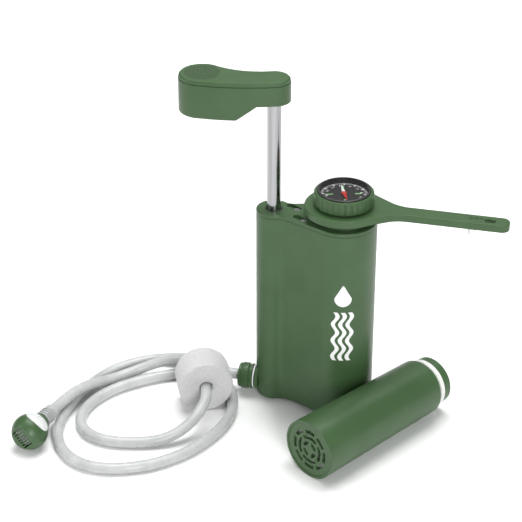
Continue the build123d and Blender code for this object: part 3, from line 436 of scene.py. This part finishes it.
white_plastic = start_finish("white_plastic", (0.80, 0.81, 0.80), 0.3)
add_tone(white_plastic, (0.76, 0.77, 0.76), (0.84, 0.85, 0.84), 200.0, (0.24, 0.36))
add_grain(white_plastic, 2400.0, 0.00001, edge=0.0002)
for part_name in ("spout", "inlet_fitting"):
    reskin(part_name, white_plastic)

# ---- water sign on the filter lobe --------------------------------------------------------
# A plain printed sign in white ink: a drop over three waves that run up the body.
sign_r = 0.02404
sign_heading = math.radians(-72.0)
sign_z = 0.0855


def wrap_on_lobe(shape):
    """Lays a flat shape (x across, z up) round the filter lobe."""
    for vert in shape.verts:
        turn = sign_heading + vert.co.x / sign_r
        vert.co = Vector((sign_r * math.cos(turn), sign_r * math.sin(turn),
                          sign_z + vert.co.z))
    bmesh.ops.recalc_face_normals(shape, faces=shape.faces)
    for face in shape.faces:
        if face.normal.dot(Vector((face.calc_center_median().xy.to_3d()))) < 0:
            face.normal_flip()


sign_ink = start_finish("white_plastic", (0.82, 0.83, 0.82), 0.5)
add_tone(sign_ink, (0.76, 0.77, 0.76), (0.86, 0.87, 0.86), 500.0, (0.42, 0.58))
add_grain(sign_ink, 3000.0, 0.000006)

drop_r = 0.0062
sign = bmesh.new()
drop = bmesh.ops.create_grid(sign, x_segments=24, y_segments=24, size=1.0)["verts"]
for vert in drop:
    across = drop_r * vert.co.x * math.sqrt(1 - vert.co.y ** 2 / 2)
    up = drop_r * vert.co.y * math.sqrt(1 - vert.co.x ** 2 / 2)
    if up > 0:
        pull = up / drop_r
        across *= 1 - 0.62 * pull ** 1.3
        up *= 1 + 0.75 * pull
    vert.co = Vector((across, 0.0, up + 0.0195))
wave_w = 0.0030
wave_gap = 0.0052
wave_l = 0.040
for shift in (-wave_gap, 0.0, wave_gap):
    band = bmesh.ops.create_grid(sign, x_segments=4, y_segments=60, size=0.5)["verts"]
    for vert in band:
        across, up = vert.co.x * wave_w, vert.co.y * wave_l
        vert.co = Vector((across + shift + 0.0016 * math.sin(up * 470.0), 0.0, up - 0.0115))
bmesh.ops.triangulate(sign, faces=sign.faces)
wrap_on_lobe(sign)
settle(sign, "water_sign", sign_ink, "pump_body")

# ---- compass cap --------------------------------------------------------------------------
# Knurled screw cap. It holds a liquid compass: a black cup with a printed card, a magnet
# needle on a brass pin and a clear lens.
reskin("cap", green_plastic)
reskin("compass_case", black_plastic)

dial = start_finish("dial", (0.012, 0.012, 0.012), 0.5)
dial_nodes, dial_links = dial.node_tree.nodes, dial.node_tree.links


def maths(tree, operation, first, second=None, third=None):
    """One step of arithmetic between sockets or numbers."""
    step = tree.nodes.new("ShaderNodeMath")
    step.operation = operation
    for slot_number, value in enumerate((first, second, third)):
        if value is None:
            continue
        if isinstance(value, (int, float)):
            step.inputs[slot_number].default_value = value
        else:
            tree.links.new(value, step.inputs[slot_number])
    return step.outputs[0]


dial_tree = dial.node_tree
dial_split = dial_nodes.new("ShaderNodeSeparateXYZ")
dial_links.new(dial_nodes.new("ShaderNodeTexCoord").outputs["Object"],
               dial_split.inputs["Vector"])
dial_x, dial_y = dial_split.outputs["X"], dial_split.outputs["Y"]
bearing = maths(dial_tree, "ARCTAN2", dial_y, dial_x)
radius = maths(dial_tree, "SQRT", maths(dial_tree, "ADD", maths(dial_tree, "MULTIPLY", dial_x,
               dial_x), maths(dial_tree, "MULTIPLY", dial_y, dial_y)))


def ticks(count, half_width, middle, half_length):
    """A ring of printed ticks, so many to the turn."""
    share = maths(dial_tree, "FRACT", maths(dial_tree, "MULTIPLY", bearing,
                                            count / (2 * math.pi)))
    line = maths(dial_tree, "COMPARE", share, 0.5, half_width)
    ring = maths(dial_tree, "COMPARE", radius, middle, half_length)
    return maths(dial_tree, "MULTIPLY", line, ring)


printed = maths(dial_tree, "MAXIMUM", ticks(72, 0.14, 0.0153, 0.0008),
                ticks(12, 0.05, 0.0148, 0.0013))
printed = maths(dial_tree, "MAXIMUM", printed, maths(dial_tree, "COMPARE", radius, 0.0163,
                                                     0.00015))
dial_colour = dial_nodes.new("ShaderNodeMix")
dial_colour.data_type = "RGBA"
dial_colour.inputs["A"].default_value = (0.012, 0.012, 0.012, 1.0)
dial_colour.inputs["B"].default_value = (0.75, 0.76, 0.75, 1.0)
dial_links.new(printed, dial_colour.inputs["Factor"])
dial_links.new(dial_colour.outputs["Result"],
               dial_nodes["Principled BSDF"].inputs["Base Color"])
add_grain(dial, 3000.0, 0.000004)
reskin("compass_dial", dial)
dial_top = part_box("compass_dial")[1][2]

glow_ink = start_finish("dial", (0.30, 0.62, 0.28), 0.45)
add_tone(glow_ink, (0.24, 0.54, 0.22), (0.36, 0.70, 0.33), 600.0, (0.4, 0.5))
add_grain(glow_ink, 3000.0, 0.000008)
marks = bmesh.new()
for quarter in range(4):
    heading = math.radians(20 + 90 * quarter)
    bar = bmesh.ops.create_grid(marks, x_segments=1, y_segments=1, size=0.5)["verts"]
    bmesh.ops.scale(marks, vec=(0.0044, 0.0013, 1.0), verts=bar)
    bmesh.ops.translate(marks, vec=(0.0100, 0.0, 0.00005), verts=bar)
    bmesh.ops.rotate(marks, cent=(0, 0, 0), matrix=Matrix.Rotation(heading, 3, "Z"), verts=bar)
    bmesh.ops.translate(marks, vec=(0.0, 0.0, dial_top), verts=bar)
settle(marks, "dial_glow_marks", glow_ink, "cap_body")

for number in range(12):
    label = bpy.data.curves.new("bearing", "FONT")
    label.body = {0: "N", 3: "E", 6: "S", 9: "W"}.get(number, str(number * 30))
    label.size = 0.0034 if number % 3 == 0 else 0.0021
    label.align_x = "CENTER"
    label.align_y = "CENTER"
    text = bpy.data.objects.new("bearing", label)
    bpy.context.scene.collection.objects.link(text)
    bpy.context.view_layer.update()
    flat = bpy.data.meshes.new_from_object(text.evaluated_get(
        bpy.context.evaluated_depsgraph_get()))
    bpy.data.objects.remove(text)
    bpy.data.curves.remove(label)
    heading = math.radians(116 - 30 * number)
    spot = Vector((math.cos(heading), math.sin(heading), 0.0)) * 0.0122
    flat.transform(Matrix.Translation(spot + Vector((0, 0, dial_top + 0.00006)))
                   @ Matrix.Rotation(heading - math.pi / 2, 4, "Z"))
    lettering = bmesh.new()
    lettering.from_mesh(flat)
    settle(lettering, f"dial_bearing_{number:02d}", sign_ink, "cap_body")

needle_heading = math.radians(116)
needle_red = start_finish("needle_red", (0.55, 0.025, 0.02), 0.3)
needle_nodes, needle_links = needle_red.node_tree.nodes, needle_red.node_tree.links
needle_turn = needle_nodes.new("ShaderNodeMapping")
needle_turn.inputs["Rotation"].default_value = (0.0, 0.0, -needle_heading)
needle_split = needle_nodes.new("ShaderNodeSeparateXYZ")
needle_links.new(needle_nodes.new("ShaderNodeTexCoord").outputs["Object"],
                 needle_turn.inputs["Vector"])
needle_links.new(needle_turn.outputs["Vector"], needle_split.inputs["Vector"])
needle_paint = needle_nodes.new("ShaderNodeMix")
needle_paint.data_type = "RGBA"
needle_paint.inputs["A"].default_value = (0.55, 0.025, 0.02, 1.0)
needle_paint.inputs["B"].default_value = (0.82, 0.83, 0.82, 1.0)
needle_links.new(maths(needle_red.node_tree, "GREATER_THAN", needle_split.outputs["X"], 0.0022),
                 needle_paint.inputs["Factor"])
needle_links.new(needle_paint.outputs["Result"],
                 needle_nodes["Principled BSDF"].inputs["Base Color"])
add_grain(needle_red, 3000.0, 0.000003, edge=0.0001)
reskin("compass_needle", needle_red)

brass = start_finish("brass", (0.68, 0.48, 0.20), 0.3, metallic=1.0)
add_tone(brass, (0.60, 0.42, 0.17), (0.74, 0.53, 0.24), 800.0, (0.2, 0.36))
add_grain(brass, 4000.0, 0.000004)
reskin("compass_pivot", brass)

lens = start_finish("lens", (0.02, 0.022, 0.022), 0.04)
add_grain(lens, 300.0, 0.000002)
lens.node_tree.nodes["Principled BSDF"].inputs["Alpha"].default_value = 0.1
reskin("compass_lens", lens)

# ---- inlet nut and hose end ---------------------------------------------------------------
# Knurled nut with a groove and a flared collar. It holds the hose on the inlet's barb, over
# a rubber gasket.
inlet_way = Vector((math.cos(math.radians(185)), math.sin(math.radians(185)), 0.0))
inlet_z = 0.0125
nut_from = Vector((rod_x, 0.0, inlet_z)) + inlet_way * 0.0147
nut_shape = turned([
    (0.0073, 0.0), (0.0090, 0.0), (0.0094, 0.0004), (0.0094, 0.0016), (0.0085, 0.0020),
    (0.0085, 0.0028), (0.0092, 0.0032), (0.0097, 0.0037), (0.0097, 0.0082), (0.0094, 0.0088),
    (0.0090, 0.0090), (0.0090, 0.0105), (0.0085, 0.0110), (0.0043, 0.0110), (0.0043, 0.0081),
    (0.0073, 0.0080)], 120)
for vert in nut_shape.verts:
    if vert.co.xy.length > 0.0091 and 0.0036 < vert.co.z < 0.0083:
        around = math.atan2(vert.co.y, vert.co.x)
        knurl = 1 - 0.012 * (0.5 + 0.5 * math.cos(30 * around)) ** 2
        vert.co.x *= knurl
        vert.co.y *= knurl
settle(stand(nut_shape, nut_from, inlet_way), "inlet_nut", green_plastic, "nut", "hose_nut")

black_rubber = start_finish("black_rubber", (0.02, 0.02, 0.02), 0.6)
add_tone(black_rubber, (0.014, 0.014, 0.014), (0.03, 0.03, 0.03), 400.0, (0.5, 0.7))
add_grain(black_rubber, 2000.0, 0.00002)
for part_name in ("inlet_gasket", "rod_wiper", "piston_seals", "head_seal", "arm_seals"):
    reskin(part_name, black_rubber)

# ---- pump and valves inside the body ------------------------------------------------------
# Acetal piston and valve block, a plastic cylinder, two steel balls and their springs.
acetal = start_finish("acetal", (0.70, 0.70, 0.67), 0.4)
add_tone(acetal, (0.66, 0.66, 0.63), (0.75, 0.75, 0.72), 150.0, (0.34, 0.46))
add_grain(acetal, 2400.0, 0.00001)
for part_name in ("piston_head", "valve_block", "valve_retainer", "cap_washer"):
    reskin(part_name, acetal)
pale_plastic = start_finish("pale_plastic", (0.66, 0.67, 0.67), 0.3)
add_tone(pale_plastic, (0.60, 0.61, 0.61), (0.72, 0.73, 0.73), 250.0, (0.22, 0.36))
add_grain(pale_plastic, 2400.0, 0.000012)
for part_name in ("pump_cylinder", "strainer_cover"):
    reskin(part_name, pale_plastic)
for part_name in ("inlet_ball", "outlet_ball", "inlet_spring", "outlet_spring"):
    reskin(part_name, steel)

# ---- filter cartridge ---------------------------------------------------------------------
# Tube with a screwed-in grille at its lower end and a ribbed white sealing sleeve on its
# neck. It lies beside the body on its rim and shoulder.
tip_down = math.atan(1.4 / 118)
cartridge_way = Vector((math.cos(math.radians(62)) * math.cos(tip_down),
                        math.sin(math.radians(62)) * math.cos(tip_down), -math.sin(tip_down)))
cartridge_foot = Vector((0.004, -0.0913, 0.02202))
reskin("cartridge_tube", green_plastic)
reskin("cartridge_grille", green_plastic)

white_rubber = start_finish("white_rubber", (0.76, 0.76, 0.74), 0.5)
add_tone(white_rubber, (0.70, 0.70, 0.68), (0.82, 0.82, 0.80), 300.0, (0.42, 0.58))
add_grain(white_rubber, 2400.0, 0.00002)
sleeve_outline = [(0.0163, 0.0), (0.0175, 0.0)]
for rib in range(2):
    base = 0.0002 + rib * 0.0021
    sleeve_outline += [(0.0176, base), (0.0184, base + 0.0003), (0.0184, base + 0.0015),
                       (0.0176, base + 0.0018)]
sleeve_outline += [(0.0175, 0.0042), (0.0163, 0.0042)]
sleeve = turned(sleeve_outline, 96)
settle(stand(sleeve, cartridge_foot + cartridge_way * 0.1193, cartridge_way),
       "ribbed_sleeve", white_rubber, "cartridge", "cartridge_ring", crease=25.0)

# ---- filter media in the cartridge --------------------------------------------------------
# A sponge, a block of pressed carbon and a bundle of hollow fibres, one above the other.
for media_name, dark, light, scale, depth in (
        ("sponge", (0.60, 0.63, 0.59), (0.80, 0.83, 0.79), 900.0, 0.0002),
        ("carbon", (0.012, 0.012, 0.012), (0.045, 0.045, 0.045), 1400.0, 0.0001),
        ("membrane", (0.72, 0.72, 0.70), (0.88, 0.88, 0.86), 1600.0, 0.00012)):
    medium = start_finish(media_name, light, 0.9)
    add_tone(medium, dark, light, scale, (0.8, 0.95))
    add_grain(medium, scale * 1.5, depth)
    for part_name in {"sponge": ("prefilter_sponge", "strainer_sponge"),
                      "carbon": ("carbon_block",), "membrane": ("fibre_bundle",)}[media_name]:
        part = reskin(part_name, medium)

# ---- strainer -----------------------------------------------------------------------------
# Hollow ball with slots for the water and a pale cover, on a ribbed grey coupling that the
# hose is clamped to. It weighs the hose's end down.
grey_plastic = start_finish("grey_plastic", (0.40, 0.41, 0.41), 0.42)
add_tone(grey_plastic, (0.35, 0.36, 0.36), (0.45, 0.46, 0.46), 250.0, (0.36, 0.5))
add_grain(grey_plastic, 2400.0, 0.000015)
for part_name, finish in (("strainer_body", green_plastic), ("strainer_grille", green_plastic),
                          ("strainer_coupling", grey_plastic), ("hose_clamp", grey_plastic)):
    reskin(part_name, finish)

# ---- floor and light ----------------------------------------------------------------------
# Plain pale floor in a pale room, with a key lamp in front, a weak one from the side and a
# wide one overhead.
floor_finish = start_finish("pale_floor", (0.92, 0.92, 0.92), 0.7)
add_tone(floor_finish, (0.91, 0.91, 0.91), (0.93, 0.93, 0.93), 3.0, (0.66, 0.74))
floor_mesh = bmesh.new()
bmesh.ops.create_grid(floor_mesh, x_segments=4, y_segments=4, size=4.0)
floor_data = bpy.data.meshes.new("studio_floor")
floor_mesh.to_mesh(floor_data)
floor_mesh.free()
floor_data.materials.append(floor_finish)
floor = bpy.data.objects.new("studio_floor", floor_data)
bpy.context.scene.collection.objects.link(floor)


def softbox(name, place, aim, width, tall, power):
    """A large soft lamp that points at the object."""
    lamp = bpy.data.lights.new(name, "AREA")
    lamp.shape = "RECTANGLE"
    lamp.size = width
    lamp.size_y = tall
    lamp.energy = power
    holder = bpy.data.objects.new(name, lamp)
    holder.location = place
    holder.rotation_euler = (Vector(place) - Vector(aim)).to_track_quat("Z", "Y").to_euler()
    bpy.context.scene.collection.objects.link(holder)


lit_spot = (-0.06, 0.0, 0.10)
softbox("key_softbox", (0.95, -1.65, 0.8), lit_spot, 0.5, 1.0, 26.0)
softbox("rim_softbox", (-1.5, -0.9, 0.8), lit_spot, 0.35, 1.2, 8.0)
softbox("top_softbox", (-0.1, 0.5, 2.0), lit_spot, 1.6, 1.2, 52.0)
room = bpy.data.worlds.new("pale_room")
room.use_nodes = True
room_tree = room.node_tree
room_split = room_tree.nodes.new("ShaderNodeSeparateXYZ")
room_tree.links.new(room_tree.nodes.new("ShaderNodeTexCoord").outputs["Generated"],
                    room_split.inputs["Vector"])
room_turn = maths(room_tree, "ARCTAN2", room_split.outputs["Y"], room_split.outputs["X"])
room_panels = maths(room_tree, "SINE", maths(room_tree, "MULTIPLY_ADD", room_turn, 4.0, 0.6))
room_light = room_tree.nodes.new("ShaderNodeMapRange")
room_light.inputs["From Min"].default_value = -0.6
room_light.inputs["From Max"].default_value = 0.6
room_light.inputs["To Min"].default_value = 0.12
room_light.inputs["To Max"].default_value = 0.36
room_tree.links.new(room_panels, room_light.inputs["Value"])
room_tree.links.new(room_light.outputs["Result"],
                    room_tree.nodes["Background"].inputs["Strength"])
room_tree.nodes["Background"].inputs["Color"].default_value = (1.0, 1.0, 1.0, 1.0)
bpy.context.scene.world = room
bpy.context.scene.view_settings.view_transform = "Standard"
